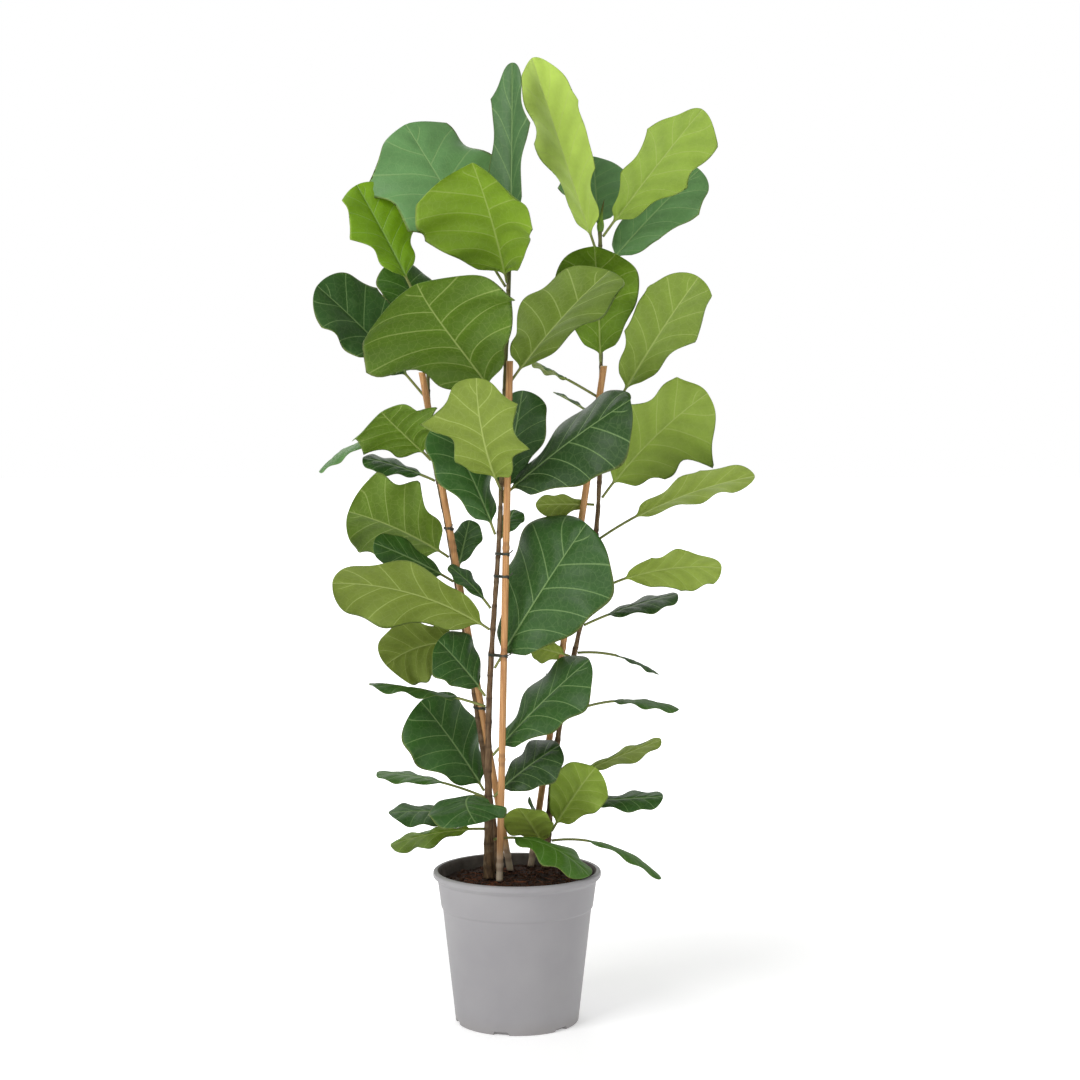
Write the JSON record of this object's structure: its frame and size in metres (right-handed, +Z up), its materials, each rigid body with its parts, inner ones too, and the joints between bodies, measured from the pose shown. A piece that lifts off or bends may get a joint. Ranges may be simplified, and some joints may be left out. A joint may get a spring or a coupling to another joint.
{
  "type": "potted fiddle leaf fig",
  "caption": "Tall fiddle leaf fig with caned stems and large leathery leaves, growing in soil in a round grey nursery pot.",
  "frame": {"origin": "middle of the pot's flat underside", "axes": "+Z up along the pot's axis, -Y towards the side the plant shows, +X to that side's right"},
  "size_m": [0.625, 0.2897, 1.3678],
  "materials": {
    "pot": "satin",
    "soil": "matte",
    "bark": "matte",
    "bamboo": "satin",
    "old_leaf": "satin",
    "new_leaf": "satin"
  },
  "bodies": {
    "root": {"pot": "pot", "soil": "soil", "front_stem": "bark", "left_stem": "bark", "right_stem": "bark", "front_cane": "bamboo", "left_cane": "bamboo", "right_cane": "bamboo", "front_leaf_01": "old_leaf", "front_leaf_02": "new_leaf", "front_leaf_03": "old_leaf", "front_leaf_04": "old_leaf", "front_leaf_05": "old_leaf", "front_leaf_06": "old_leaf", "front_leaf_07": "old_leaf", "front_leaf_08": "old_leaf", "front_leaf_09": "old_leaf", "front_leaf_10": "old_leaf", "front_leaf_11": "old_leaf", "front_leaf_12": "old_leaf", "front_leaf_13": "old_leaf", "front_leaf_14": "old_leaf", "front_leaf_15": "new_leaf", "front_leaf_16": "new_leaf", "front_leaf_17": "old_leaf", "front_leaf_18": "old_leaf", "front_leaf_19": "new_leaf", "left_leaf_01": "old_leaf", "left_leaf_02": "old_leaf", "left_leaf_03": "old_leaf", "left_leaf_04": "new_leaf", "left_leaf_05": "old_leaf", "left_leaf_06": "old_leaf", "left_leaf_07": "new_leaf", "left_leaf_08": "old_leaf", "left_leaf_09": "new_leaf", "left_leaf_10": "old_leaf", "left_leaf_11": "old_leaf", "left_leaf_12": "old_leaf", "left_leaf_13": "new_leaf", "right_leaf_01": "old_leaf", "right_leaf_02": "new_leaf", "right_leaf_03": "new_leaf", "right_leaf_04": "old_leaf", "right_leaf_05": "old_leaf", "right_leaf_06": "old_leaf", "right_leaf_07": "old_leaf", "right_leaf_08": "old_leaf", "right_leaf_09": "old_leaf", "right_leaf_10": "new_leaf", "right_leaf_11": "new_leaf", "right_leaf_12": "new_leaf", "right_leaf_13": "new_leaf", "right_leaf_14": "old_leaf", "right_leaf_15": "old_leaf", "right_leaf_16": "new_leaf", "right_leaf_17": "old_leaf", "right_leaf_18": "new_leaf", "right_leaf_19": "old_leaf", "right_leaf_20": "new_leaf"}
  },
  "joints": []
}
